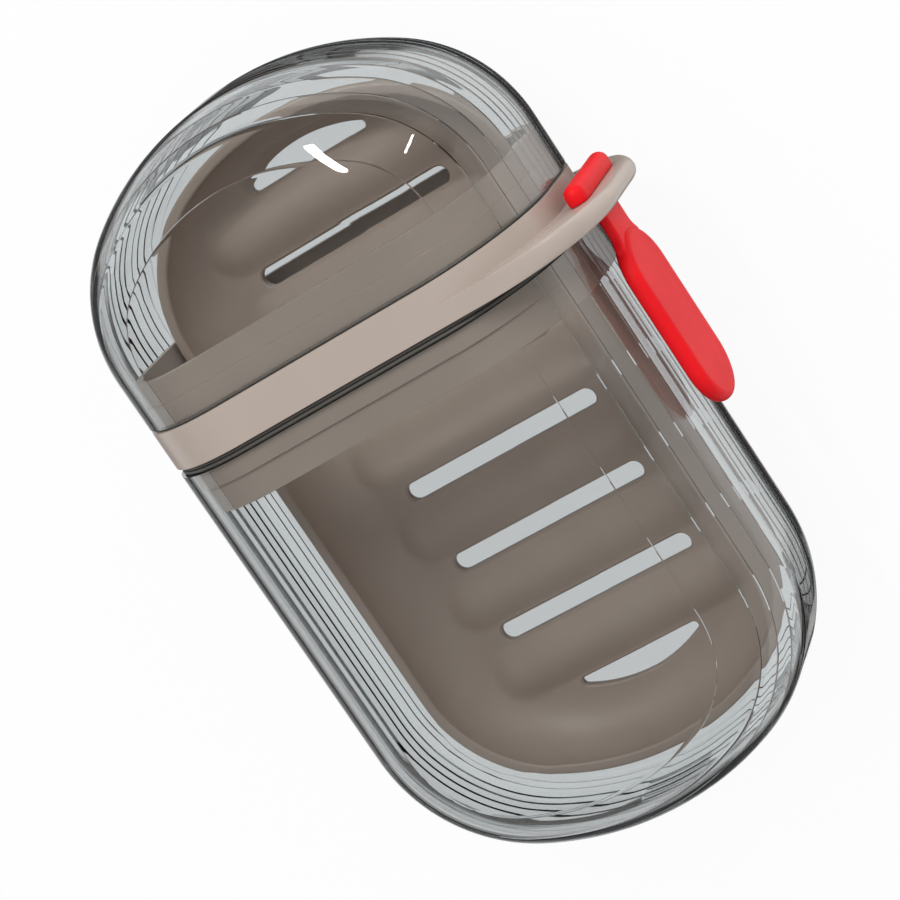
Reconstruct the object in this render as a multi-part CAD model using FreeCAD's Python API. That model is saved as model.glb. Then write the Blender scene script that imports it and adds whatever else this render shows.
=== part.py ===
import FreeCAD, Part
import math
import os

os.makedirs("parts", exist_ok=True)

# Travel soap box, closed and lying on its back: X runs from the body end to the cap end,
# the strap is on the -Y side, Z is up and z = 0 is the flat underside. Lengths are in mm.

# Closed box
box_length = 139.6
box_width = 80.0
box_height = 50.0
edge_radius = 20.4  # long edges, front and back
edge_limit_share = 0.48  # the most that an edge may take of the height
cap_corner_share = 0.31  # where the corner radius lies between the edge radius and half the width
body_corner_share = 0.51
cap_end_bow_share = 0.275  # how much the end's radius exceeds half the width
body_end_bow_share = 0.37
shell_wall = 1.3
cap_length = 40.1

# Collar with its two plug sleeves
band_width = 7.1
sleeve_wall = 2.0
plug_clearance = 0.3
body_sleeve_length = 9.5
cap_sleeve_length = 8.2
lead_in = 0.5  # how much smaller the free end of a sleeve is
lead_in_share = 0.5  # of the sleeve's length

# Seals between the band and the two rims
body_seal_thickness = 1.5
cap_seal_thickness = 0.6
seal_recess = 0.5
seal_clearance = 0.05

# Ear on the collar
ear_reach = 9.6
ear_thickness = 3.45
ear_round_share = 0.48  # of the ear's thickness
ear_slot_clearance = 0.15

# Strap
strap_reach_share = 0.46  # of the ear's reach
neck_width = 8.8
neck_thickness = 1.8
neck_length = 3.2  # from the bend to the round top of the paddle
neck_overlap_share = 0.5  # how far the neck runs into the paddle, of the paddle's width
head_length = 20.4
head_width = 3.6
head_height = 3.3
head_round_share = 0.45  # of the height
stem_drop = 0.5
bend_gap = 0.3
paddle_length = 32.0
paddle_width = 15.4
paddle_thickness = 2.95
paddle_round_share = 0.4  # of the thickness

# Drain tray
tray_clearance = 1.3  # to the collar's bore on each side
tray_body_gap = 3.7  # to the inside of the body's end
tray_cap_gap = 5.8
tray_corner_share = 0.72  # of half the width
tray_end_bow_share = 0.37
rim_drop = 0.4  # from where the box's sides turn upright down to the rim
drain_height = 4.3  # under the tray, above the collar's bore
tray_wall = 2.0
tray_round_share = 0.95  # of the depth
slot_pitch = 14.8
slot_width = 3.4
slot_margin = 15.6  # from a slot's end to the tray's side
slot_end_margin = 19.0  # from the straight slots to the tray's ends
pattern_shift = 2.05  # towards the cap, from the tray's middle
end_slot_share = 0.4  # of a pitch beyond the half pitch next to the last straight slot
end_slot_length = 28.5
end_slot_depth = 4.2
end_slot_round_share = 0.2  # of the depth
ridge_height = 1.8
ridge_margin = 10.1
ridge_width_share = 0.62  # of the pitch
ridge_round_share = 0.8  # of the ridge's height
saddle_thickness = 2.0
saddle_length_share = 0.9  # of the flat stretch inside the collar

cut_overrun = 5.0
flat_share = 1e-6  # how level an edge is, of its own size

# Worked out from the sizes above
half_width = box_width / 2
mid_height = box_height / 2
box_edge = min(edge_radius, edge_limit_share * box_height)
band_cap_face = box_length / 2 - cap_length
band_body_face = band_cap_face - band_width
cap_rim = band_cap_face + cap_seal_thickness
body_rim = band_body_face - body_seal_thickness
sleeve_inset = shell_wall + plug_clearance
bore_inset = sleeve_inset + sleeve_wall
ear_face = band_body_face + ear_thickness
strap_y = -half_width - strap_reach_share * ear_reach
stem_end = band_body_face - stem_drop
bend_x = stem_end - bend_gap - neck_thickness / 2
tray_half = half_width - bore_inset - tray_clearance
tray_length = box_length - 2 * shell_wall - tray_body_gap - tray_cap_gap
tray_middle = (tray_body_gap - tray_cap_gap) / 2
rim_height = box_edge - rim_drop
tray_low = bore_inset + drain_height
tray_floor = tray_low + tray_wall
tray_round = tray_round_share * (rim_height - tray_low)
pattern_middle = tray_middle + pattern_shift
slot_count = int((tray_length - 2 * slot_end_margin) // slot_pitch)


def vec(x, y, z):
    return FreeCAD.Vector(x, y, z)


def arc(first, middle, last):
    return Part.Arc(first, middle, last).toShape()


def line(first, last):
    return Part.makeLine(first, last)


# The points of one bowed end on its +Y side: end of the straight side, middle of the corner,
# start of the end's own curve, and tip.
def end_points(half, corner, end_radius, reach, turn):
    end_centre = reach - end_radius
    corner_y = half - corner
    span = end_radius - corner
    corner_x = end_centre + math.sqrt(span**2 - corner_y**2)
    lean = math.atan2(corner_y, corner_x - end_centre)
    mid_lean = (lean + math.pi / 2) / 2
    side = vec(turn * corner_x, half, 0)
    bend = vec(
        turn * (corner_x + corner * math.cos(mid_lean)),
        corner_y + corner * math.sin(mid_lean),
        0,
    )
    join = vec(
        turn * (end_centre + end_radius * math.cos(lean)),
        end_radius * math.sin(lean),
        0,
    )
    tip = vec(turn * reach, 0, 0)
    return side, bend, join, tip


def mirrored(point):
    return vec(point.x, -point.y, point.z)


# The outline of a dish seen from above, with straight sides and two bowed ends, set in by inset.
def plan_face(half, length, corners, end_radii, inset):
    side_a, bend_a, join_a, tip_a = end_points(
        half - inset, corners[0] - inset, end_radii[0] - inset, length / 2 - inset, 1
    )
    side_b, bend_b, join_b, tip_b = end_points(
        half - inset, corners[1] - inset, end_radii[1] - inset, length / 2 - inset, -1
    )
    edges = [
        line(side_b, side_a),
        arc(side_a, bend_a, join_a),
        arc(join_a, tip_a, mirrored(join_a)),
        arc(mirrored(join_a), mirrored(bend_a), mirrored(side_a)),
        line(mirrored(side_a), mirrored(side_b)),
        arc(mirrored(side_b), mirrored(bend_b), mirrored(join_b)),
        arc(mirrored(join_b), tip_b, join_b),
        arc(join_b, bend_b, side_b),
    ]
    return Part.Face(Part.Wire(edges))


def is_level(edge, height):
    box = edge.BoundBox
    reach = max(abs(box.ZMin - height), abs(box.ZMax - height))
    return reach < flat_share * box.DiagonalLength


def edges_at(solid, height):
    return [edge for edge in solid.Edges if is_level(edge, height)]


# The whole closed box as one rounded lump, set in by inset on every side.
def closed_box(inset):
    corners = [
        box_edge + cap_corner_share * (half_width - box_edge),
        box_edge + body_corner_share * (half_width - box_edge),
    ]
    end_radii = [
        half_width * (1 + cap_end_bow_share),
        half_width * (1 + body_end_bow_share),
    ]
    outline = plan_face(half_width, box_length, corners, end_radii, inset)
    top = box_height - inset
    outline.translate(vec(0, 0, inset))
    lump = outline.extrude(vec(0, 0, top - inset))
    rims = edges_at(lump, inset) + edges_at(lump, top)
    return lump.makeFillet(box_edge - inset, rims)


# Everything between two planes across the box.
def slab(x_low, x_high):
    size = box_width + cut_overrun
    depth = box_height + cut_overrun
    corner = vec(x_low, -size / 2, -cut_overrun / 2)
    return Part.makeBox(x_high - x_low, size, depth, corner)


# A stretch of the box's cross-section, set in by inset.
def section_prism(inset, x_low, x_high):
    half = half_width - inset
    radius = box_edge - inset
    low = inset
    high = box_height - inset
    diagonal = radius * (1 - math.sqrt(0.5))
    inner = half - radius
    edges = [
        line(vec(x_low, -inner, low), vec(x_low, inner, low)),
        arc(
            vec(x_low, inner, low),
            vec(x_low, half - diagonal, low + diagonal),
            vec(x_low, half, low + radius),
        ),
        line(vec(x_low, half, low + radius), vec(x_low, half, high - radius)),
        arc(
            vec(x_low, half, high - radius),
            vec(x_low, half - diagonal, high - diagonal),
            vec(x_low, inner, high),
        ),
        line(vec(x_low, inner, high), vec(x_low, -inner, high)),
        arc(
            vec(x_low, -inner, high),
            vec(x_low, -half + diagonal, high - diagonal),
            vec(x_low, -half, high - radius),
        ),
        line(vec(x_low, -half, high - radius), vec(x_low, -half, low + radius)),
        arc(
            vec(x_low, -half, low + radius),
            vec(x_low, -half + diagonal, low + diagonal),
            vec(x_low, -inner, low),
        ),
    ]
    return Part.Face(Part.Wire(edges)).extrude(vec(x_high - x_low, 0, 0))


# A flat bar with round ends, long in Z and wide in Y, from x = 0 up to its rounded top.
def pill(length, width, height, round_share):
    half = width / 2
    straight = length / 2 - half
    edges = [
        line(vec(0, -half, -straight), vec(0, -half, straight)),
        arc(vec(0, -half, straight), vec(0, 0, length / 2), vec(0, half, straight)),
        line(vec(0, half, straight), vec(0, half, -straight)),
        arc(vec(0, half, -straight), vec(0, 0, -length / 2), vec(0, -half, -straight)),
    ]
    bar = Part.Face(Part.Wire(edges)).extrude(vec(height, 0, 0))
    top = [edge for edge in bar.Edges if edge.BoundBox.XMin > height / 2]
    return bar.makeFillet(round_share * height, top)


def make_body_shell():
    half = slab(-box_length / 2 - cut_overrun, body_rim)
    return closed_box(0).cut(closed_box(shell_wall)).common(half)


def make_cap_shell():
    half = slab(cap_rim, box_length / 2 + cut_overrun)
    return closed_box(0).cut(closed_box(shell_wall)).common(half)


# A plug sleeve from the band outwards, with a smaller free end.
def make_sleeve(root, length, turn):
    step = root + turn * length * (1 - lead_in_share)
    tip = root + turn * length
    thick = section_prism(sleeve_inset, min(root, step), max(root, step))
    thin = section_prism(sleeve_inset + lead_in, min(step, tip), max(step, tip))
    return thick.fuse(thin)


def make_collar():
    band = section_prism(0, band_body_face, band_cap_face)
    ear = section_prism(0, band_body_face, ear_face)
    rims = [edge for edge in ear.Edges if edge.BoundBox.XLength < ear_thickness / 2]
    ear = ear.makeFillet(ear_round_share * ear_thickness, rims)
    ear.translate(vec(0, -ear_reach, 0))
    body_sleeve = make_sleeve(band_body_face, body_sleeve_length, -1)
    cap_sleeve = make_sleeve(band_cap_face, cap_sleeve_length, 1)
    bore = section_prism(
        bore_inset,
        band_body_face - body_sleeve_length - cut_overrun,
        band_cap_face + cap_sleeve_length + cut_overrun,
    )
    slot_y = neck_thickness + 2 * ear_slot_clearance
    slot_z = neck_width + 2 * ear_slot_clearance
    slot = Part.makeBox(
        ear_thickness + 2 * cut_overrun,
        slot_y,
        slot_z,
        vec(band_body_face - cut_overrun, strap_y - slot_y / 2, mid_height - slot_z / 2),
    )
    collar = band.fuse([ear, body_sleeve, cap_sleeve])
    return collar.cut([bore, slot]).removeSplitter()


def make_seal(x_low, x_high):
    inner = section_prism(sleeve_inset - seal_clearance, x_low - cut_overrun, x_high + cut_overrun)
    return section_prism(seal_recess, x_low, x_high).cut(inner)


def make_strap_head():
    bar = pill(head_length, head_width, head_height, head_round_share)
    bar.translate(vec(ear_face, strap_y, mid_height))
    stem = Part.makeBox(
        ear_face - stem_end + head_height / 2,
        neck_thickness,
        neck_width,
        vec(stem_end, strap_y - neck_thickness / 2, mid_height - neck_width / 2),
    )
    return bar.fuse(stem).removeSplitter()


# Neck and paddle, hanging from the bend along the side of the body.
def make_strap_paddle():
    top = bend_x - neck_length
    half = paddle_width / 2
    near = top - half
    far = top - paddle_length + half
    inner = strap_y + paddle_thickness / 2
    edges = [
        line(vec(far, inner, -half), vec(near, inner, -half)),
        arc(vec(near, inner, -half), vec(top, inner, 0), vec(near, inner, half)),
        line(vec(near, inner, half), vec(far, inner, half)),
        arc(vec(far, inner, half), vec(far - half, inner, 0), vec(far, inner, -half)),
    ]
    plate = Part.Face(Part.Wire(edges)).extrude(vec(0, -paddle_thickness, 0))
    rims = [edge for edge in plate.Edges if edge.BoundBox.YLength < paddle_thickness / 2]
    plate = plate.makeFillet(paddle_round_share * paddle_thickness, rims)
    neck_reach = neck_length + neck_overlap_share * paddle_width
    neck = Part.makeBox(
        neck_reach,
        neck_thickness,
        neck_width,
        vec(bend_x - neck_reach, strap_y - neck_thickness / 2, -neck_width / 2),
    )
    roll = Part.makeCylinder(neck_thickness / 2, neck_width, vec(bend_x, strap_y, -neck_width / 2))
    paddle = plate.fuse([neck, roll]).removeSplitter()
    paddle.translate(vec(0, 0, mid_height))
    return paddle


# A dish-shaped lump with a rounded bottom edge.
def tray_lump(inset, low, high, round_radius):
    corners = [tray_corner_share * tray_half, tray_corner_share * tray_half]
    end_radii = [tray_half * (1 + tray_end_bow_share), tray_half * (1 + tray_end_bow_share)]
    outline = plan_face(tray_half, tray_length, corners, end_radii, inset)
    outline.translate(vec(tray_middle, 0, low))
    lump = outline.extrude(vec(0, 0, high - low))
    return lump.makeFillet(round_radius, edges_at(lump, low))


# One straight drain slot with round ends.
def straight_slot(x):
    half = slot_width / 2
    tip = tray_half - slot_margin
    straight = tip - half
    low = tray_low - cut_overrun
    edges = [
        line(vec(x - half, -straight, low), vec(x - half, straight, low)),
        arc(vec(x - half, straight, low), vec(x, tip, low), vec(x + half, straight, low)),
        line(vec(x + half, straight, low), vec(x + half, -straight, low)),
        arc(vec(x + half, -straight, low), vec(x, -tip, low), vec(x - half, -straight, low)),
    ]
    return Part.Face(Part.Wire(edges)).extrude(vec(0, 0, rim_height - low))


# A drain slot at one end, straight towards the middle and bowed outwards.
def end_slot(turn):
    x = pattern_middle + turn * (slot_count / 2 + end_slot_share) * slot_pitch
    half = end_slot_length / 2
    low = tray_low - cut_overrun
    edges = [
        line(vec(x, -half, low), vec(x, half, low)),
        arc(vec(x, half, low), vec(x + turn * end_slot_depth, 0, low), vec(x, -half, low)),
    ]
    lump = Part.Face(Part.Wire(edges)).extrude(vec(0, 0, rim_height - low))
    tips = [edge for edge in lump.Edges if edge.BoundBox.YLength < end_slot_depth]
    return lump.makeFillet(end_slot_round_share * end_slot_depth, tips)


# A low soft ridge on the tray's floor, between two slots.
def ridge(x):
    length = 2 * (tray_half - ridge_margin)
    bar = pill(length, ridge_width_share * slot_pitch, ridge_height, ridge_round_share)
    bar.rotate(vec(0, 0, 0), vec(0, 1, 0), -90)
    bar.rotate(vec(0, 0, 0), vec(0, 0, 1), 90)
    bar.translate(vec(x, 0, tray_floor))
    return bar


# A rib under the tray that stands on the flat bottom of the collar's bore.
def saddle(x):
    half = saddle_length_share * (half_width - box_edge)
    height = drain_height + tray_wall / 2
    corner = vec(x - saddle_thickness / 2, -half, bore_inset)
    return Part.makeBox(saddle_thickness, 2 * half, height, corner)


def make_drain_tray():
    outside = tray_lump(0, tray_low, rim_height, tray_round)
    hollow = tray_lump(tray_wall, tray_floor, rim_height + cut_overrun, tray_round - tray_wall)
    first = pattern_middle - (slot_count - 1) / 2 * slot_pitch
    slot_places = [first + number * slot_pitch for number in range(slot_count)]
    ridge_places = [x - slot_pitch / 2 for x in slot_places] + [slot_places[-1] + slot_pitch / 2]
    slots = [straight_slot(x) for x in slot_places] + [end_slot(1), end_slot(-1)]
    ridges = [ridge(x) for x in ridge_places]
    sleeve_low = band_body_face - body_sleeve_length + saddle_thickness
    sleeve_high = band_cap_face + cap_sleeve_length - saddle_thickness
    saddles = [saddle(x) for x in ridge_places if sleeve_low < x < sleeve_high]
    tray = outside.cut(hollow).fuse(ridges + saddles)
    return tray.cut(slots).removeSplitter()


make_body_shell().exportStep("parts/body_shell.step")
make_cap_shell().exportStep("parts/cap_shell.step")
make_collar().exportStep("parts/collar.step")
make_seal(body_rim, band_body_face).exportStep("parts/body_seal.step")
make_seal(band_cap_face, cap_rim).exportStep("parts/cap_seal.step")
make_strap_head().exportStep("parts/strap_head.step")
make_strap_paddle().exportStep("parts/strap_paddle.step")
make_drain_tray().exportStep("parts/drain_tray.step")
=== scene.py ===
import math
import bpy
import bmesh
from mathutils import Matrix, Vector


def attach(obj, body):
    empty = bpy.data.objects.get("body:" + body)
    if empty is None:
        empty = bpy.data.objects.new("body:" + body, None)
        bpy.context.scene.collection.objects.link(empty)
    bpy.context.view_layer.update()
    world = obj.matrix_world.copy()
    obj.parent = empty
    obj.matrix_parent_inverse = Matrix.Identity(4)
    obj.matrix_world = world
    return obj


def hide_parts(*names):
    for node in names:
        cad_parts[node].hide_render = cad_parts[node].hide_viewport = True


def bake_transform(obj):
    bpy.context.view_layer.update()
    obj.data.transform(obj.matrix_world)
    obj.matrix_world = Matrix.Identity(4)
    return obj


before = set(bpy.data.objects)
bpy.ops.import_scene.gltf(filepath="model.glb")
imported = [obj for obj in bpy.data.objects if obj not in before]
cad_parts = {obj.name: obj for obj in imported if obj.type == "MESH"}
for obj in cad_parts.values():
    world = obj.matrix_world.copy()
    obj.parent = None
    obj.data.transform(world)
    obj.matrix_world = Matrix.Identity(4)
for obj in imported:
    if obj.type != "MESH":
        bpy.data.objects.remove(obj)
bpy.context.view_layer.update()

scene = bpy.context.scene
scene.view_settings.view_transform = "Standard"
mm = 0.001


def linear(code):  # sRGB hex to linear RGBA
    parts = [int(code[i:i + 2], 16) / 255 for i in (1, 3, 5)]
    return [c / 12.92 if c <= 0.04045 else ((c + 0.055) / 1.055) ** 2.4 for c in parts] + [1]


def addNode(tree, kind, values=None, links=None, **settings):
    node = tree.nodes.new(kind)
    for name, value in settings.items():
        setattr(node, name, value)
    for socket, value in (values or {}).items():
        node.inputs[socket].default_value = value
    for socket, source in (links or {}).items():
        tree.links.new(source, node.inputs[socket])
    return node


def newMaterial(name):
    material = bpy.data.materials.new(name)
    material.use_nodes = True
    material.node_tree.nodes.clear()
    return material, material.node_tree


def meshOf(name, verts, faces):  # millimetres in, one clean closed skin out
    mesh = bpy.data.meshes.new(name)
    mesh.from_pydata([[c * mm for c in v] for v in verts], [], faces)
    work = bmesh.new()
    work.from_mesh(mesh)
    bmesh.ops.remove_doubles(work, verts=work.verts, dist=1e-6)
    bmesh.ops.dissolve_degenerate(work, edges=work.edges, dist=1e-7)
    bmesh.ops.recalc_face_normals(work, faces=work.faces)
    work.to_mesh(mesh)
    work.free()
    return mesh


def newPiece(name, mesh, material, body, nodes):
    piece = bpy.data.objects.new(name, mesh)
    scene.collection.objects.link(piece)
    mesh.materials.clear()
    mesh.materials.append(material)
    if body:
        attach(piece, body)
    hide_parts(*nodes)
    print("built", name, len(mesh.polygons), "faces")
    return piece


def smooth(piece, angle=35):
    mesh = piece.data
    mesh.polygons.foreach_set("use_smooth", [True] * len(mesh.polygons))
    mesh.set_sharp_from_angle(angle=math.radians(angle))


def cutAway(piece, verts, faces):  # takes closed lumps out of a piece
    lump = bpy.data.objects.new("lump", meshOf("lump", verts, faces))
    scene.collection.objects.link(lump)
    cut = piece.modifiers.new("cut", "BOOLEAN")
    cut.operation = "DIFFERENCE"
    cut.solver = "EXACT"
    cut.object = lump
    bpy.context.view_layer.update()
    done = bpy.data.meshes.new_from_object(piece.evaluated_get(bpy.context.evaluated_depsgraph_get()))
    piece.modifiers.remove(cut)
    done.name = piece.data.name
    piece.data = done
    bpy.data.objects.remove(lump)


def roundEdges(piece, width, segments=3, angle=50):
    bevel = piece.modifiers.new("round", "BEVEL")
    bevel.width = width * mm
    bevel.segments = segments
    bevel.limit_method = "ANGLE"
    bevel.angle_limit = math.radians(angle)


# materials
def clearStyrene():
    # clear styrene copolymer with a grey tint, moulded in a polished tool: hard bright reflections,
    # edges that go dark where the eye looks along the wall, slight mould waviness
    material, tree = newMaterial("clear styrene, polished moulding, grey tint")
    place = addNode(tree, "ShaderNodeTexCoord").outputs["Object"]
    wave = addNode(tree, "ShaderNodeTexNoise", {"Scale": 1 / (18 * mm), "Detail": 1}, {"Vector": place})
    bump = addNode(tree, "ShaderNodeBump", {"Strength": 0.04, "Distance": 0.02 * mm},
                   {"Height": wave.outputs[0]})
    haze = addNode(tree, "ShaderNodeTexNoise", {"Scale": 1 / (6 * mm), "Detail": 3}, {"Vector": place})
    rough = addNode(tree, "ShaderNodeMapRange", {"To Min": 0.0, "To Max": 0.02}, {"Value": haze.outputs[0]})
    glass = addNode(tree, "ShaderNodeBsdfPrincipled", {
        "Base Color": linear("#FFFFFF"), "Transmission Weight": 1, "IOR": 1.5,
    }, {"Roughness": rough.outputs[0], "Normal": bump.outputs[0]})
    lampPass = addNode(tree, "ShaderNodeBsdfTransparent", {"Color": linear("#F8F9FA")})
    path = addNode(tree, "ShaderNodeLightPath")
    forLamps = addNode(tree, "ShaderNodeMixShader", None, {
        0: path.outputs["Is Shadow Ray"], 1: glass.outputs[0], 2: lampPass.outputs[0]})
    forBounces = addNode(tree, "ShaderNodeMixShader", None, {
        0: path.outputs["Is Diffuse Ray"], 1: forLamps.outputs[0], 2: lampPass.outputs[0]})
    tint = addNode(tree, "ShaderNodeVolumeAbsorption", {"Color": linear("#92A1A5"), "Density": 246})
    addNode(tree, "ShaderNodeOutputMaterial", None,
            {"Surface": forBounces.outputs[0], "Volume": tint.outputs[0]})
    return material


def beigePolypropylene(name, base, deep, polish):
    # polypropylene moulded in a spark-eroded tool: even satin beige with a faint flow mottle and a fine
    # grain; the real grain of 0.1 mm is drawn at 0.3 mm so that it shows
    material, tree = newMaterial(name)
    place = addNode(tree, "ShaderNodeTexCoord").outputs["Object"]
    flow = addNode(tree, "ShaderNodeTexNoise", {"Scale": 1 / (25 * mm), "Detail": 3}, {"Vector": place})
    ramp = addNode(tree, "ShaderNodeMapRange", {"From Min": 0.3, "From Max": 0.7},
                   {"Value": flow.outputs[0]})
    colour = addNode(tree, "ShaderNodeMix", {6: linear(base), 7: linear(deep)}, {0: ramp.outputs[0]},
                     data_type="RGBA")
    grain = addNode(tree, "ShaderNodeTexNoise", {"Scale": 1 / (0.3 * mm), "Detail": 1}, {"Vector": place})
    bump = addNode(tree, "ShaderNodeBump", {"Strength": 0.05, "Distance": 0.03 * mm},
                   {"Height": grain.outputs[0]})
    rough = addNode(tree, "ShaderNodeMapRange", {"To Min": polish, "To Max": polish + 0.1},
                    {"Value": flow.outputs[0]})
    plastic = addNode(tree, "ShaderNodeBsdfPrincipled", {"IOR": 1.49}, {
        "Base Color": colour.outputs[2], "Roughness": rough.outputs[0], "Normal": bump.outputs[0]})
    addNode(tree, "ShaderNodeOutputMaterial", None, {"Surface": plastic.outputs[0]})
    return material


def redSilicone():
    # soft silicone, compression moulded: saturated red with a dry satin skin and a faint pale bloom;
    # the real skin texture of 0.1 mm is drawn at 0.4 mm so that it shows
    material, tree = newMaterial("red silicone, satin moulding")
    place = addNode(tree, "ShaderNodeTexCoord").outputs["Object"]
    cloud = addNode(tree, "ShaderNodeTexNoise", {"Scale": 1 / (9 * mm), "Detail": 4}, {"Vector": place})
    ramp = addNode(tree, "ShaderNodeMapRange", {"From Min": 0.35, "From Max": 0.65},
                   {"Value": cloud.outputs[0]})
    colour = addNode(tree, "ShaderNodeMix", {6: linear("#F4101A"), 7: linear("#EC0F1A")},
                     {0: ramp.outputs[0]}, data_type="RGBA")
    skin = addNode(tree, "ShaderNodeTexNoise", {"Scale": 1 / (0.4 * mm), "Detail": 2}, {"Vector": place})
    bump = addNode(tree, "ShaderNodeBump", {"Strength": 0.05, "Distance": 0.03 * mm},
                   {"Height": skin.outputs[0]})
    rough = addNode(tree, "ShaderNodeMapRange", {"To Min": 0.42, "To Max": 0.52}, {"Value": cloud.outputs[0]})
    rubber = addNode(tree, "ShaderNodeBsdfPrincipled", {
        "IOR": 1.43, "Specular IOR Level": 0.25, "Sheen Weight": 0.03, "Sheen Roughness": 0.4,
    }, {
        "Base Color": colour.outputs[2], "Roughness": rough.outputs[0], "Normal": bump.outputs[0]})
    addNode(tree, "ShaderNodeOutputMaterial", None, {"Surface": rubber.outputs[0]})
    return material


def darkSilicone():
    # dark grey silicone, moulded as a thin lip ring: soft shine along each lip
    material, tree = newMaterial("dark grey silicone, moulded")
    place = addNode(tree, "ShaderNodeTexCoord").outputs["Object"]
    dust = addNode(tree, "ShaderNodeTexNoise", {"Scale": 1 / (2 * mm), "Detail": 3}, {"Vector": place})
    colour = addNode(tree, "ShaderNodeMix", {6: linear("#55524E"), 7: linear("#625F5A")},
                     {0: dust.outputs[0]}, data_type="RGBA")
    rough = addNode(tree, "ShaderNodeMapRange", {"To Min": 0.35, "To Max": 0.5}, {"Value": dust.outputs[0]})
    rubber = addNode(tree, "ShaderNodeBsdfPrincipled", {"IOR": 1.43}, {
        "Base Color": colour.outputs[2], "Roughness": rough.outputs[0]})
    addNode(tree, "ShaderNodeOutputMaterial", None, {"Surface": rubber.outputs[0]})
    return material


shellPlastic = clearStyrene()
# the beige mouldings: base colour, deeper mottle, least roughness
collarPlastic = beigePolypropylene("beige polypropylene, satin moulding", "#BAACA2", "#B4A69C", 0.24)
# painted light: the sleeves are the collar's own moulding, given a lighter, warmer copy of its beige to make
# up for the shade under the clear shells
sleevePaintedLighter = beigePolypropylene("beige polypropylene, satin moulding, sleeves", "#C8B5A6", "#C0AD9E", 0.3)
trayPlastic = beigePolypropylene("beige polypropylene, satin moulding, tray", "#B8A597", "#AE9B8D", 0.38)
strapRubber = redSilicone()
sealRubber = darkSilicone()

# the box's own form in millimetres, shared by the shells, the collar and the seals
box = {"length": 139.6, "width": 80, "height": 50, "edge": 20.4, "wall": 1.3,
       # fine moulded lines inside each round edge, top and underside: angle up from the flat, depth, width
       "highLines": [(27, 0.05, 0.2), (50, 0.08, 0.3), (61, 0.18, 0.4), (72, 0.2, 0.4), (83, 0.2, 0.4)],
       "lowLines": [(60, 0.14, 0.32), (66, 0.15, 0.34), (72, 0.15, 0.34), (78, 0.15, 0.34),
                    (84, 0.15, 0.34)],
       # the same on the upright wall: heights, depth, half width
       "wallLines": [21.6, 24, 26.4, 28.8], "wallLineDeep": 0.26, "wallLineHalf": 0.3,
       "edgeSteps": 36, "flatRows": (0.8, 0.3),  # steps round an edge, rows that keep the flats flat
       "sideSteps": 14, "cornerSteps": 48, "endSteps": 36, "rimRound": 0.25}
# endShare: how deep the lines still are at the very end
bodyTub = {"rim": 21.1, "corner": 30.396, "endRadius": 54.8, "turn": -1, "endShare": 0.3}
capTub = {"rim": 30.3, "corner": 26.476, "endRadius": 51, "turn": 1, "endShare": 0.5}


# stations of a bowed end from one straight side round to the other: place and outward direction
def endStations(half, reach, corner, endRadius, start, turn, sideSteps, cornerSteps, endSteps):
    endCentre = reach - endRadius
    cornerY = half - corner
    cornerX = endCentre + math.sqrt((endRadius - corner) ** 2 - cornerY ** 2)
    lean = math.atan2(cornerY, cornerX - endCentre)
    side = []
    for i in range(sideSteps):
        side.append((start + (cornerX - start) * i / sideSteps, half, 0, 1))
    for i in range(cornerSteps):
        a = math.pi / 2 + (lean - math.pi / 2) * i / cornerSteps
        nx, ny = math.cos(a), math.sin(a)
        side.append((cornerX + corner * nx, cornerY + corner * ny, nx, ny))
    for i in range(endSteps):
        a = lean * (1 - i / endSteps)
        nx, ny = math.cos(a), math.sin(a)
        side.append((endCentre + endRadius * nx, endRadius * ny, nx, ny))
    side.append((reach, 0, 1, 0))
    both = side + [(x, -y, nx, -ny) for x, y, nx, ny in reversed(side[:-1])]
    return [(turn * x, y, turn * nx, ny) for x, y, nx, ny in both]


def quarter(steps):  # angles from flat to upright
    return [math.pi / 2 * i / steps for i in range(steps + 1)]


# profile of a rounded tub from its flat underside round to its flat top: how far in and how high;
# share is how much of the moulded lines' depth is there
def tubProfile(inset, lined, share=1):
    edge = box["edge"]

    def roundEdge(lines):
        radius, rows = edge - inset, [(a, 0) for a in quarter(box["edgeSteps"])]
        for angle, deep, wide in lines:
            a, thin = math.radians(angle), wide / 2 / radius
            rows = [row for row in rows if abs(row[0] - a) > 1.5 * thin]  # room for the line
            rows += [(a - thin, 0), (a, deep * share), (a + thin, 0)]
        flat = [(edge + further, inset) for further in box["flatRows"]]
        return flat + [(edge - (radius + deep) * math.sin(a), edge - (radius + deep) * math.cos(a))
                       for a, deep in sorted(rows)]
    low, high = [roundEdge(box[lines] if lined else ()) for lines in ("lowLines", "highLines")]
    upright, deep, half = [], box["wallLineDeep"] * share, box["wallLineHalf"]
    for z in box["wallLines"] if lined else ():
        upright += [(inset, z - half), (inset - deep, z), (inset, z + half)]
    return low + upright + [(d, box["height"] - z) for d, z in reversed(high)]


def flatFill(first, count):  # strips across a flat, from one side's stations to the other's
    faces = []
    for i in range(count // 2):
        a, b = first + i, first + count - 1 - i
        faces.append([a, a + 1, b - 1, b] if a + 1 < b - 1 else [a, a + 1, b])
    return faces


def bridge(verts, outer, inner):  # the rim, between loops of unlike counts
    def shares(loop):
        steps = [math.dist(verts[a], verts[b]) for a, b in zip(loop, loop[1:] + loop[:1])]
        return [sum(steps[:i]) / sum(steps) for i in range(len(loop) + 1)]
    far, near = shares(outer), shares(inner)
    faces, i, j = [], 0, 0
    while i < len(outer) or j < len(inner):
        a, b = outer[i % len(outer)], inner[j % len(inner)]
        if j >= len(inner) or (i < len(outer) and far[i + 1] <= near[j + 1]):
            i += 1
            faces.append([a, outer[i % len(outer)], b])
        else:
            j += 1
            faces.append([a, inner[j % len(inner)], b])
    return faces


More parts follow.
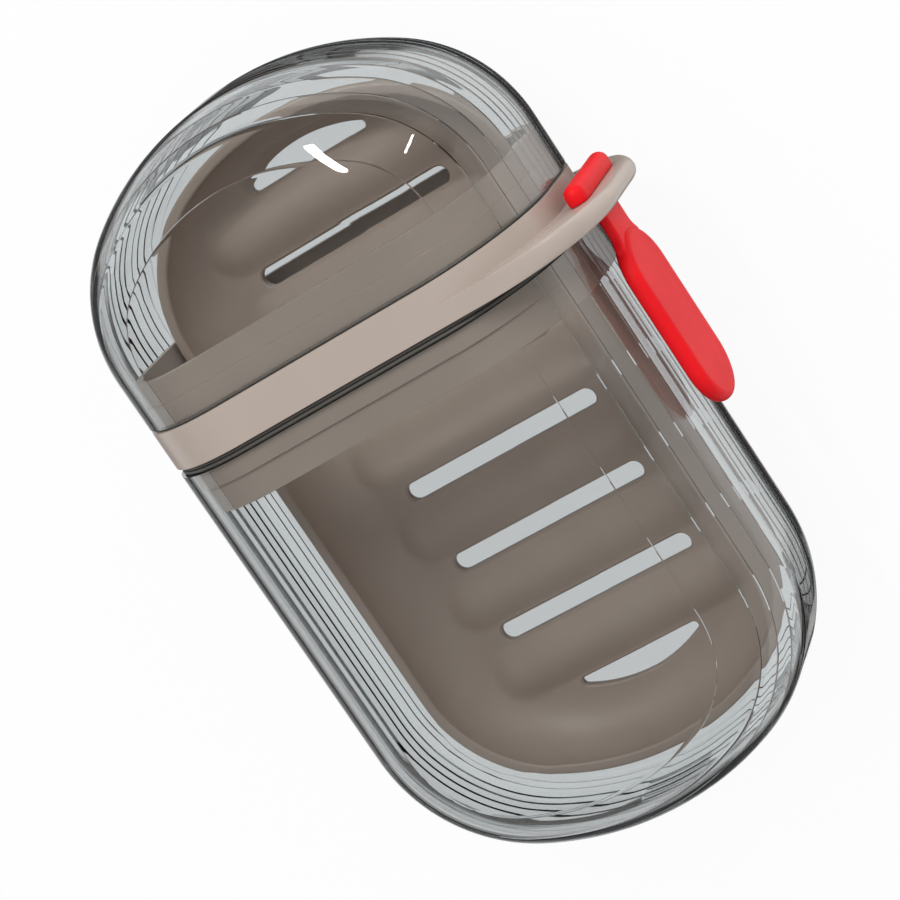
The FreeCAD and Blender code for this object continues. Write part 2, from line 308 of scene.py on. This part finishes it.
def rimEdges(shell, start):  # rounds only the two edges of the rim
    mesh = shell.data
    weight = mesh.attributes.new("bevel_weight_edge", "FLOAT", "EDGE")
    work = bmesh.new()
    work.from_mesh(mesh)
    for edge in work.edges:
        onRim = all(abs(v.co.x - start * mm) < 1e-6 for v in edge.verts)
        weight.data[edge.index].value = 1 if onRim and edge.calc_face_angle(0) > 1 else 0
    work.free()
    roundEdges(shell, box["rimRound"], 2)
    shell.modifiers["round"].limit_method = "WEIGHT"


def buildShell(name, node, body, form):
    stations = endStations(box["width"] / 2, box["length"] / 2, form["corner"], form["endRadius"],
                           form["rim"] * form["turn"], form["turn"],
                           box["sideSteps"], box["cornerSteps"], box["endSteps"])
    count = len(stations)
    verts, faces, rows = [], [], []
    for inset, lined in ((0, False), (box["wall"], True)):
        base = len(verts)
        profile = tubProfile(inset, lined)
        rows.append(len(profile))
        for (d, z), (endD, endZ) in zip(profile, tubProfile(inset, lined, form["endShare"])):
            for x, y, nx, ny in stations:  # the lines grow faint round the end
                deep, high = d + (endD - d) * nx ** 2, z + (endZ - z) * nx ** 2
                verts.append((x - deep * nx, y - deep * ny, high))
        for row in range(len(profile) - 1):
            for i in range(count - 1):
                a = base + row * count + i
                faces.append([a, a + 1, a + 1 + count, a + count])
        faces += flatFill(base, count)
        faces += flatFill(base + (len(profile) - 1) * count, count)
    loops = []
    for first, last in ((0, rows[0]), (rows[0], rows[0] + rows[1])):
        loops.append([r * count for r in range(first, last)] +
                     [r * count + count - 1 for r in reversed(range(first, last))])
    faces += bridge(verts, *loops)
    shell = newPiece(name, meshOf(name, verts, faces), shellPlastic, body, [node])
    smooth(shell, 15)
    rimEdges(shell, form["rim"])


buildShell("bodyTub", "body_shell", "body", bodyTub)
buildShell("capTub", "cap_shell", "cap", capTub)


# collar and seals: loops round the box's section, drawn along X
def sectionLoop(x, inset, reach=0, earInset=0, steps=24):
    inner = box["width"] / 2 - box["edge"]
    low, high = box["edge"], box["height"] - box["edge"]
    loop = []
    for cy, cz, begin in ((inner, high, 0), (-inner, high, 90), (-inner, low, 180), (inner, low, 270)):
        shift = reach if cy < 0 else 0
        if begin == 90:
            loop.append((x, -inner, box["height"] - inset))  # the ear's top leaves the band here
        for i in range(steps + 1):
            share = i / steps
            a = math.radians(begin + 90 * share)
            # the ear's rounding grows from nothing
            fade = {90: share ** 2, 180: (1 - share) ** 2}.get(begin, 0)
            radius = box["edge"] - inset - earInset * fade
            loop.append((x, cy - shift + radius * math.cos(a), cz + radius * math.sin(a)))
        if begin == 180:
            loop.append((x, -inner, inset))
    return loop


def loftRows(rows):
    verts, faces = [], []
    for row in rows:
        verts += sectionLoop(*row)
    count = len(sectionLoop(*rows[0]))
    for r in range(len(rows)):
        s = (r + 1) % len(rows)
        for i in range(count):
            j = (i + 1) % count
            faces.append([r * count + i, r * count + j, s * count + j, s * count + i])
    return verts, faces


collar = {"bodyFace": 22.6, "capFace": 29.7, "earFace": 26.05, "earReach": 9.6, "earRound": 2.5,
          "sleeve": 1.6, "bore": 3.6, "leadIn": 0.5, "bodySleeve": 9.5, "capSleeve": 8.2,
          "slotThick": 2.1, "slotWide": 9.1, "slotPast": 2, "edgeRound": 0.3, "earSteps": 12}
seal = {"inner": 1.55, "outer": 0.5, "groove": 0.5, "swell": 0.6, "lipSteps": 6}
# the sides of a block, for eight corners: one end's four in turn, then the other's
blockFaces = [[0, 1, 2, 3], [4, 5, 6, 7], [0, 1, 5, 4], [1, 2, 6, 5], [2, 3, 7, 6], [3, 0, 4, 7]]
strap = {"y": -44.416, "z": 25, "bendX": 20.9, "neckThick": 1.8, "neckWide": 8.8,
         "headLength": 20.4, "headWide": 3.6, "headHigh": 3.3, "headRound": 1.7, "headSteps": 10,
         "headFoot": [(0.35, 0), (0.1, 0.1), (0, 0.35)],  # how far in, how high
         "paddleTop": 17.7, "paddleLength": 32, "paddleWide": 15.4, "paddleThick": 2.95, "paddleRound": 1.2,
         "paddleFlat": 3, "paddleSteps": 32, "rimSteps": 20, "neckRound": 0.6, "neckInHead": 0.4,
         "neckInPaddle": 5, "neckSteps": 40, "neckEdgeSteps": 5, "flare": 1.2, "flareStart": 0.8,
         "flareLength": 2.4}


def buildCollar():
    c = collar
    bodyTip, capTip = c["bodyFace"] - c["bodySleeve"], c["capFace"] + c["capSleeve"]
    bodyStep, capStep = c["bodyFace"] - c["bodySleeve"] / 2, c["capFace"] + c["capSleeve"] / 2
    thin = c["sleeve"] + c["leadIn"]
    rows = [(bodyTip, thin), (bodyStep, thin), (bodyStep, c["sleeve"]), (c["bodyFace"], c["sleeve"])]
    middle, half = (c["bodyFace"] + c["earFace"]) / 2, (c["earFace"] - c["bodyFace"]) / 2
    for i in range(c["earSteps"] + 1):  # the ear's round edge
        a = math.radians(-90 + 180 * i / c["earSteps"])
        rows.append((middle + half * math.sin(a), 0, c["earReach"], c["earRound"] * (1 - math.cos(a))))
    rows += [(c["earFace"], 0), (c["capFace"], 0), (c["capFace"], c["sleeve"]), (capStep, c["sleeve"]),
             (capStep, thin), (capTip, thin), (capTip, c["bore"]), (bodyTip, c["bore"])]
    piece = newPiece("collarBand", meshOf("collarBand", *loftRows(rows)), collarPlastic, "collar", ["collar"])
    y, z, t, w = strap["y"], strap["z"], c["slotThick"] / 2, c["slotWide"] / 2
    ends = (c["bodyFace"] - c["slotPast"], c["earFace"] + c["slotPast"])
    corners = [(x, y + sy * t, z + sz * w) for x in ends
               for sy, sz in ((-1, -1), (1, -1), (1, 1), (-1, 1))]
    cutAway(piece, corners, blockFaces)
    # painted light: the sleeves take the lighter copy of the beige, against the shade under the shells
    piece.data.materials.append(sleevePaintedLighter)
    slack = 0.01
    for face in piece.data.polygons:  # the sleeves, which the shells cover
        if not c["bodyFace"] - slack < face.center.x / mm < c["capFace"] + slack:
            face.material_index = 1
    smooth(piece)
    roundEdges(piece, c["edgeRound"])


def buildSeal(name, node, x0, x1, lips):
    rows = [(x0, seal["inner"])]
    for k in range(lips):  # each lip swells to the outside, with a groove to the next one
        a, b = x0 + (x1 - x0) * k / lips, x0 + (x1 - x0) * (k + 1) / lips
        for i in range(seal["lipSteps"] + 1):
            t = i / seal["lipSteps"]
            hollow = 1 - math.sin(math.pi * t) ** seal["swell"]
            rows.append((a + (b - a) * t, seal["outer"] + seal["groove"] * hollow))
    rows.append((x1, seal["inner"]))
    piece = newPiece(name, meshOf(name, *loftRows(rows)), sealRubber, "collar", [node])
    smooth(piece)


buildCollar()
buildSeal("bodySealRing", "body_seal", bodyTub["rim"], collar["bodyFace"], 2)
buildSeal("capSealRing", "cap_seal", collar["capFace"], capTub["rim"], 1)


# strap: head, neck, paddle
def pillLoop(half, straight, inset, steps=20):  # a stadium: place along, place across
    loop = []
    for side in (1, -1):
        for i in range(steps + 1):
            a = math.radians(-90 + 180 * i / steps)
            along, across = straight + (half - inset) * math.cos(a), (half - inset) * math.sin(a)
            loop.append((side * along, side * across))
    return loop


def stackLoops(loops):  # closed at both ends
    verts = [p for loop in loops for p in loop]
    count = len(loops[0])
    faces = [list(range(count)), list(range(len(verts) - count, len(verts)))]
    for r in range(len(loops) - 1):
        for i in range(count):
            j = (i + 1) % count
            faces.append([r * count + i, r * count + j, (r + 1) * count + j, (r + 1) * count + i])
    return verts, faces


def buildStrapHead():
    s = strap
    x0, high, r = collar["earFace"], s["headHigh"], s["headRound"]
    half, straight = s["headWide"] / 2, (s["headLength"] - s["headWide"]) / 2
    profile = s["headFoot"] + [(0, high - r)]
    profile += [(r * (1 - math.cos(a)), high - r + r * math.sin(a)) for a in quarter(s["headSteps"])[1:]]
    loops = []
    for inset, up in profile:
        pill = pillLoop(half, straight, inset)
        loops.append([(x0 + up, s["y"] + across, s["z"] + along) for along, across in pill])
    piece = newPiece("strapHead", meshOf("strapHead", *stackLoops(loops)), strapRubber, "collar",
                     ["strap_head"])
    smooth(piece, 60)


def buildStrapPaddle():
    s = strap
    half, straight = s["paddleWide"] / 2, (s["paddleLength"] - s["paddleWide"]) / 2
    middle, thick, r = s["paddleTop"] - s["paddleLength"] / 2, s["paddleThick"] / 2, s["paddleRound"]
    flat = s["paddleFlat"]
    angles = [math.radians(-90 + 180 * i / s["rimSteps"]) for i in range(s["rimSteps"] + 1)]
    profile = [(r + flat, -thick), (r + flat / 2, -thick)]  # two flat rows, the round rim, two flat rows
    profile += [(r * (1 - math.cos(a)), thick * math.sin(a)) for a in angles]
    profile += [(r + flat / 2, thick), (r + flat, thick)]
    loops = []
    for inset, up in profile:
        pill = pillLoop(half, straight, inset, s["paddleSteps"])
        loops.append([(middle + along, s["y"] + up, s["z"] + across) for along, across in pill])
    piece = newPiece("strapPaddle", meshOf("strapPaddle", *stackLoops(loops)), strapRubber, "strap",
                     ["strap_paddle"])
    smooth(piece, 60)


def buildStrapNeck():
    s = strap
    loops = []
    top, bottom = collar["earFace"] + s["neckInHead"], s["paddleTop"] - s["neckInPaddle"]
    thick, r = s["neckThick"] / 2, s["neckRound"]
    for i in range(s["neckSteps"] + 1):
        x = top + (bottom - top) * i / s["neckSteps"]
        near = max(0, min(1, (s["paddleTop"] + s["flareStart"] - x) / s["flareLength"]))
        wide = s["neckWide"] / 2 + s["flare"] * near ** 2  # flares into the paddle
        loop = []
        for cz, cy, begin in ((1, 1, 0), (-1, 1, 90), (-1, -1, 180), (1, -1, 270)):
            for k in range(s["neckEdgeSteps"] + 1):
                a = math.radians(begin + 90 * k / s["neckEdgeSteps"])
                loop.append((x, s["y"] + cy * (thick - r) + r * math.sin(a),
                             s["z"] + cz * (wide - r) + r * math.cos(a)))
        loops.append(loop)
    piece = newPiece("strapNeck", meshOf("strapNeck", *stackLoops(loops)), strapRubber, None, [])
    smooth(piece, 60)
    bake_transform(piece)  # bakes the neck's place into its mesh


buildStrapHead()
buildStrapPaddle()
buildStrapNeck()

# drain tray
tray = {"half": 35.1, "reach": 63.75, "middle": -1.05, "corner": 25.272, "endRadius": 48.087,
        "rim": 20, "low": 7.9, "wall": 2, "round": 11.495, "lip": 0.5,
        "slots": [-36, -21.2, -6.4, 8.4, 23.2, 38], "slotWide": 3.4, "slotTip": 19.5,
        "endSlots": [(-49.32, -1), (51.32, 1)],  # place, which way it bows
        "endSlotHalf": 14.25, "endSlotDeep": 4.2, "endSlotRound": 0.84, "slotRound": 0.35,
        "pitch": 14.8, "ridgeHigh": 1.8, "ridgeTip": 26, "ridgeHalf": 5.6,
        "saddles": [15.8, 30.6], "saddleThick": 2, "saddleHalf": 17.64, "saddleBite": 0.4, "saddleRound": 0.4,
        "sideSteps": 64, "cornerSteps": 30, "endSteps": 20, "acrossSteps": 52,
        "underSteps": 16, "lipSteps": 4, "insideSteps": 22, "bowSteps": 16, "tipSteps": 6}


def ridgeLift(x, y):  # soft bars between the drain slots
    t = tray
    first = t["slots"][0] - t["pitch"] / 2
    k = round((x - first) / t["pitch"])
    if not 0 <= k <= len(t["slots"]):
        return 0
    across = abs(x - first - k * t["pitch"]) / t["ridgeHalf"]
    beyond = max(0, abs(y) - (t["ridgeTip"] - t["ridgeHalf"])) / t["ridgeHalf"]
    far = min(1, math.hypot(across, beyond))
    return t["ridgeHigh"] * (1 - far ** 2) ** 1.5


def capsule(x, tip, half, grow, steps=10):  # a straight slot's outline, grown by a little
    points = []
    for side in (1, -1):
        for i in range(steps + 1):
            a = math.pi * i / steps
            r = half + grow
            points.append((x + side * r * math.cos(a), side * (tip - half + r * math.sin(a))))
    return points


def lens(x, turn, grow):  # an end slot's outline: straight towards the middle, bowed outwards, round tips
    t = tray
    half, deep, r = t["endSlotHalf"], t["endSlotDeep"], t["endSlotRound"]
    big = (half ** 2 + deep ** 2) / (2 * deep)
    centre = deep - big
    tipY = math.sqrt((big - r) ** 2 - (r - centre) ** 2)
    lean = math.atan2(tipY, r - centre)
    points = []
    for i in range(t["bowSteps"] + 1):
        a = lean * (1 - 2 * i / t["bowSteps"])
        points.append((centre + (big + grow) * math.cos(a), (big + grow) * math.sin(a)))
    for sign in (-1, 1):
        fan = [-lean - (math.pi - lean) * (i + 1) / t["tipSteps"] for i in range(t["tipSteps"])]
        side = [(r + (r + grow) * math.cos(a), -tipY + (r + grow) * math.sin(a)) for a in fan]
        points += side if sign < 0 else [(px, -py) for px, py in reversed(side)]
    return [(x + turn * px, py) for px, py in points]


def buildTray():
    t = tray
    args = (t["half"], t["reach"], t["corner"], t["endRadius"], 0)
    steps = (t["sideSteps"], t["cornerSteps"], t["endSteps"])
    right, left = endStations(*args, 1, *steps), endStations(*args, -1, *steps)
    ring = right[:-1] + list(reversed(left))[:-1]
    ring = [(x + t["middle"], y, nx, ny) for x, y, nx, ny in ring]
    count = len(ring)
    low, wall, outer, lip = t["low"], t["wall"], t["round"], t["lip"]
    floor, inner, lipFoot = low + wall, outer - wall, t["rim"] - lip
    # from the underside up the outside, over the lip and down the inside
    profile = [(outer * (1 - math.sin(a)), low + outer * (1 - math.cos(a)))
               for a in quarter(t["underSteps"])]
    profile += [(0, lipFoot)]
    turn = quarter(t["lipSteps"])
    profile += [(lip * (1 - math.cos(a)), lipFoot + lip * math.sin(a)) for a in turn[1:]]
    profile += [(wall - lip * (1 - math.sin(a)), lipFoot + lip * math.cos(a)) for a in turn]
    inside = len(profile)
    profile += [(wall + inner * (1 - math.cos(a)), floor + inner * (1 - math.sin(a)))
                for a in quarter(t["insideSteps"])]
    verts, faces = [], []
    for row, (d, z) in enumerate(profile):
        upper = row >= inside  # only the inside has bars
        for x, y, nx, ny in ring:
            px, py = x - d * nx, y - d * ny
            verts.append((px, py, z + (ridgeLift(px, py) if upper else 0)))
    for row in range(len(profile) - 1):
        for i in range(count):
            j = (i + 1) % count
            faces.append([row * count + i, row * count + j, (row + 1) * count + j, (row + 1) * count + i])
    faces.append(list(range(count)))  # the flat underside
    last = (len(profile) - 1) * count
    columns, across = [], t["acrossSteps"]
    tipA = max(range(count), key=lambda i: ring[i][0])
    tipB = min(range(count), key=lambda i: ring[i][0])
    span = (tipB - tipA) % count
    for k in range(span + 1):  # the floor, as columns from one side to the other
        a, b = (tipA - k) % count, (tipA + k) % count
        (ax, ay, _), (bx, by, _) = verts[last + a], verts[last + b]
        column = [last + a]
        for m in range(1, across):
            y = ay + (by - ay) * m / across
            x = ax + (bx - ax) * m / across
            verts.append((x, y, floor + ridgeLift(x, y)))
            column.append(len(verts) - 1)
        columns.append(column + [last + b])
    for p, q in zip(columns, columns[1:]):
        for m in range(across):
            faces.append([p[m], p[m + 1], q[m + 1], q[m]])
    piece = newPiece("trayDish", meshOf("trayDish", verts, faces), trayPlastic, "collar", ["drain_tray"])
    lumpVerts, lumpFaces = [], []
    soft = t["slotRound"]  # the slots' edges open out below and above: height, growth
    levels = [(low - 1.5, 1.6), (low + soft, 0), (floor - 0.3, 0), (floor + 0.05, soft), (floor + 2, 2)]
    outlines = [lambda g, x=x: capsule(x, t["slotTip"], t["slotWide"] / 2, g) for x in t["slots"]]
    outlines += [lambda g, x=x, turn=turn: lens(x, turn, g) for x, turn in t["endSlots"]]
    for outline in outlines:
        v, f = stackLoops([[(px, py, z) for px, py in outline(grow)] for z, grow in levels])
        lumpFaces += [[i + len(lumpVerts) for i in face] for face in f]
        lumpVerts += v
    cutAway(piece, lumpVerts, lumpFaces)
    smooth(piece, 30)
    for number, x in enumerate(t["saddles"]):
        w, h = t["saddleThick"] / 2, t["saddleHalf"]
        v = [(x + sx * w, sy * h, z) for z in (collar["bore"], low + t["saddleBite"]) for sx, sy in
             ((-1, -1), (1, -1), (1, 1), (-1, 1))]
        rib = newPiece("traySaddle%d" % (number + 1), meshOf("saddle", v, blockFaces), trayPlastic, "collar",
                       ["drain_tray"])
        roundEdges(rib, t["saddleRound"], 3, 40)
        smooth(rib, 40)


buildTray()

# camera: from a fit to the photograph's outline
camera = {"lens": 129.82, "place": (0.098733, -0.218294, 0.501002),
          "right": (-0.54815, -0.79679, -0.25429), "up": (0.81573, -0.44216, -0.37292),
          "back": (0.18470, -0.41185, 0.89234)}
lensData = bpy.data.cameras.new("camera")
lensData.lens = camera["lens"]
lensData.sensor_width = 36
lensData.clip_start = 0.01
eye = bpy.data.objects.new("camera", lensData)
scene.collection.objects.link(eye)
turned = Matrix([camera["right"], camera["up"], camera["back"]]).transposed().to_quaternion()
eye.matrix_world = Matrix.Translation(camera["place"]) @ turned.to_matrix().to_4x4()
scene.camera = eye

# floor, studio and lamps
studio = {"floorRadius": 0.6, "floorDrop": 0.0002, "floorGlow": 0.93,
          # painted reflection: what the clear shells see under them, a white card with dark and pale rings,
          # white beyond, which draws dark and pale lines along their edges
          "cardMiddle": (-7 * mm, 14.5 * mm, 0), "cardHalf": (73 * mm, 47.5 * mm, 1), "cardCorner": 34 * mm,
          "ringReach": 80 * mm, "rings": [(0, "#FFFFFF"), (0.95, "#FFFFFF"), (0.005, "#060606"),
                                          (0.06, "#060606"), (0.08, "#B8B8B8"), (0.2, "#B8B8B8"),
                                          (0.22, "#060606"), (0.7, "#060606"), (0.75, "#D0D0D0")],
          # towards the camera the rings are closer together
          "nearSide": (0.41, -0.91, 0), "nearFrom": -58 * mm, "nearTo": 36 * mm, "nearSqueeze": 4,
          # the room: tones by height for gloss, light by length for dull surfaces, horizon for the clear ones
          "roomGlow": 0.9, "roomTones": [(0, "#101010"), (0.95, "#606060"), (0.2, "#181818"),
                                         (0.3, "#505050"), (0.55, "#585858")],
          "bodyEndLight": 0.54, "capEndLight": 1.04, "paleBelow": 0.06, "darkAbove": 0.12, "darkGlow": 0.01}
lamps = [  # name, place, aim, size, watts, spread in degrees; the last two are narrow beams aimed at the tray
    ("front strip", (0.58, -0.02, 0.62), (0, 0, 0.02), (0.04, 0.36), 2.1, 180),
    ("side strip", (0.47, -0.61, 0.43), (0, 0, 0.02), (0.02, 0.26), 0.7, 180),
    ("tray strip", (-0.25, 0.0, 0.35), (0.014, 0, 0.010), (0.05, 0.018), 0.0028, 3),
    ("cap strip", (0.35, 0.0, 0.32), (0.044, 0, 0.010), (0.04, 0.014), 0.0004, 3),
]


def fillRamp(ramp, tones):  # the first two tones take the ramp's own two stops
    for stop, (position, code) in zip(list(ramp.elements), tones[:2]):
        stop.position, stop.color = position, linear(code)
    for position, code in tones[2:]:
        ramp.elements.new(position).color = linear(code)


def buildFloor():
    material, tree = newMaterial("white sweep")
    path = addNode(tree, "ShaderNodeLightPath")
    place = addNode(tree, "ShaderNodeTexCoord").outputs["Object"]
    corner = studio["cardCorner"]
    inner = [h - corner for h in studio["cardHalf"]]
    # how far a place on the floor lies outside the card's rounded outline
    aside = addNode(tree, "ShaderNodeVectorMath", {1: studio["cardMiddle"]}, {0: place}, operation="SUBTRACT")
    aside = addNode(tree, "ShaderNodeVectorMath", None, {0: aside.outputs[0]}, operation="ABSOLUTE")
    aside = addNode(tree, "ShaderNodeVectorMath", {1: inner}, {0: aside.outputs[0]}, operation="SUBTRACT")
    aside = addNode(tree, "ShaderNodeVectorMath", {1: (0, 0, 0)}, {0: aside.outputs[0]}, operation="MAXIMUM")
    far = addNode(tree, "ShaderNodeVectorMath", None, {0: aside.outputs[0]}, operation="LENGTH")
    past = addNode(tree, "ShaderNodeMath", {1: corner}, {0: far.outputs["Value"]}, operation="SUBTRACT")
    near = addNode(tree, "ShaderNodeVectorMath", {1: studio["nearSide"]}, {0: place}, operation="DOT_PRODUCT")
    squeeze = addNode(tree, "ShaderNodeMapRange", {
        "From Min": studio["nearFrom"], "From Max": studio["nearTo"], "To Min": 1,
        "To Max": studio["nearSqueeze"]}, {"Value": near.outputs["Value"]})
    past = addNode(tree, "ShaderNodeMath", None, {0: past.outputs[0], 1: squeeze.outputs[0]},
                   operation="MULTIPLY")
    past = addNode(tree, "ShaderNodeMapRange", {"From Min": 0, "From Max": studio["ringReach"]},
                   {"Value": past.outputs[0]})
    # painted reflection: these rings reach only glossy and transmission rays, so they show only as dark and
    # pale lines in the clear shells
    rings = addNode(tree, "ShaderNodeValToRGB", None, {0: past.outputs[0]})
    fillRamp(rings.color_ramp, studio["rings"])
    tone = addNode(tree, "ShaderNodeMix", {7: linear("#FFFFFF")}, {  # the camera sees plain white
        0: path.outputs["Is Camera Ray"], 6: rings.outputs[0]}, data_type="RGBA")
    seen = addNode(tree, "ShaderNodeMath", None, {
        0: path.outputs["Is Camera Ray"], 1: path.outputs["Is Glossy Ray"]}, operation="MAXIMUM")
    seen = addNode(tree, "ShaderNodeMath", None, {
        0: seen.outputs[0], 1: path.outputs["Is Transmission Ray"]}, operation="MAXIMUM")
    share = addNode(tree, "ShaderNodeMath", {1: studio["floorGlow"]}, {0: seen.outputs[0]},
                    operation="MULTIPLY")
    paper = addNode(tree, "ShaderNodeBsdfDiffuse", {"Color": linear("#F4F4F4")})
    glow = addNode(tree, "ShaderNodeEmission", {"Strength": 1}, {"Color": tone.outputs[2]})
    mix = addNode(tree, "ShaderNodeMixShader", None, {
        0: share.outputs[0], 1: paper.outputs[0], 2: glow.outputs[0]})
    addNode(tree, "ShaderNodeOutputMaterial", None, {"Surface": mix.outputs[0]})
    work = bmesh.new()
    bmesh.ops.create_circle(work, cap_ends=True, segments=96, radius=studio["floorRadius"])
    mesh = bpy.data.meshes.new("floor")
    work.to_mesh(mesh)
    work.free()
    mesh.materials.append(material)
    floor = bpy.data.objects.new("floor", mesh)
    floor.location.z = -studio["floorDrop"]
    scene.collection.objects.link(floor)
    print("laid the floor")


def buildWorld():
    world = bpy.data.worlds.new("studio")
    world.use_nodes = True
    tree = world.node_tree
    tree.nodes.clear()
    place = addNode(tree, "ShaderNodeTexCoord").outputs["Generated"]
    split = addNode(tree, "ShaderNodeSeparateXYZ", None, {0: place})
    ramp = addNode(tree, "ShaderNodeValToRGB", None, {0: split.outputs["Z"]})
    fillRamp(ramp.color_ramp, studio["roomTones"])
    path = addNode(tree, "ShaderNodeLightPath")
    room = addNode(tree, "ShaderNodeBackground", {"Strength": studio["roomGlow"]}, {"Color": ramp.outputs[0]})
    front = addNode(tree, "ShaderNodeMapRange", {
        "From Min": -1, "From Max": 1, "To Min": studio["bodyEndLight"], "To Max": studio["capEndLight"],
    }, {"Value": split.outputs["X"]})
    soft = addNode(tree, "ShaderNodeBackground", {"Color": linear("#FFFFFF")}, {"Strength": front.outputs[0]})
    white = addNode(tree, "ShaderNodeBackground", {"Color": linear("#FFFFFF"), "Strength": 1})
    low = addNode(tree, "ShaderNodeMapRange", {
        "From Min": studio["paleBelow"], "From Max": studio["darkAbove"], "To Min": 1,
        "To Max": studio["darkGlow"]}, {"Value": split.outputs["Z"]})
    horizon = addNode(tree, "ShaderNodeBackground", {"Color": linear("#FFFFFF")},
                      {"Strength": low.outputs[0]})
    seen = addNode(tree, "ShaderNodeMixShader", None, {
        0: path.outputs["Is Transmission Ray"], 1: room.outputs[0], 2: horizon.outputs[0]})
    lit = addNode(tree, "ShaderNodeMixShader", None, {
        0: path.outputs["Is Diffuse Ray"], 1: seen.outputs[0], 2: soft.outputs[0]})
    mix = addNode(tree, "ShaderNodeMixShader", None, {
        0: path.outputs["Is Camera Ray"], 1: lit.outputs[0], 2: white.outputs[0]})
    addNode(tree, "ShaderNodeOutputWorld", None, {"Surface": mix.outputs[0]})
    scene.world = world
    print("lit the room")


def addLamp(name, place, aim, size, power, spread):
    lamp = bpy.data.lights.new(name, "AREA")
    lamp.shape = "RECTANGLE"
    lamp.size, lamp.size_y = size
    lamp.energy = power
    lamp.spread = math.radians(spread)
    holder = bpy.data.objects.new(name, lamp)
    holder.location = place
    holder.rotation_euler = (Vector(aim) - Vector(place)).to_track_quat("-Z", "Y").to_euler()
    holder.visible_transmission = False
    scene.collection.objects.link(holder)
    print("hung", name)


buildFloor()
buildWorld()
for lamp in lamps:
    addLamp(*lamp)
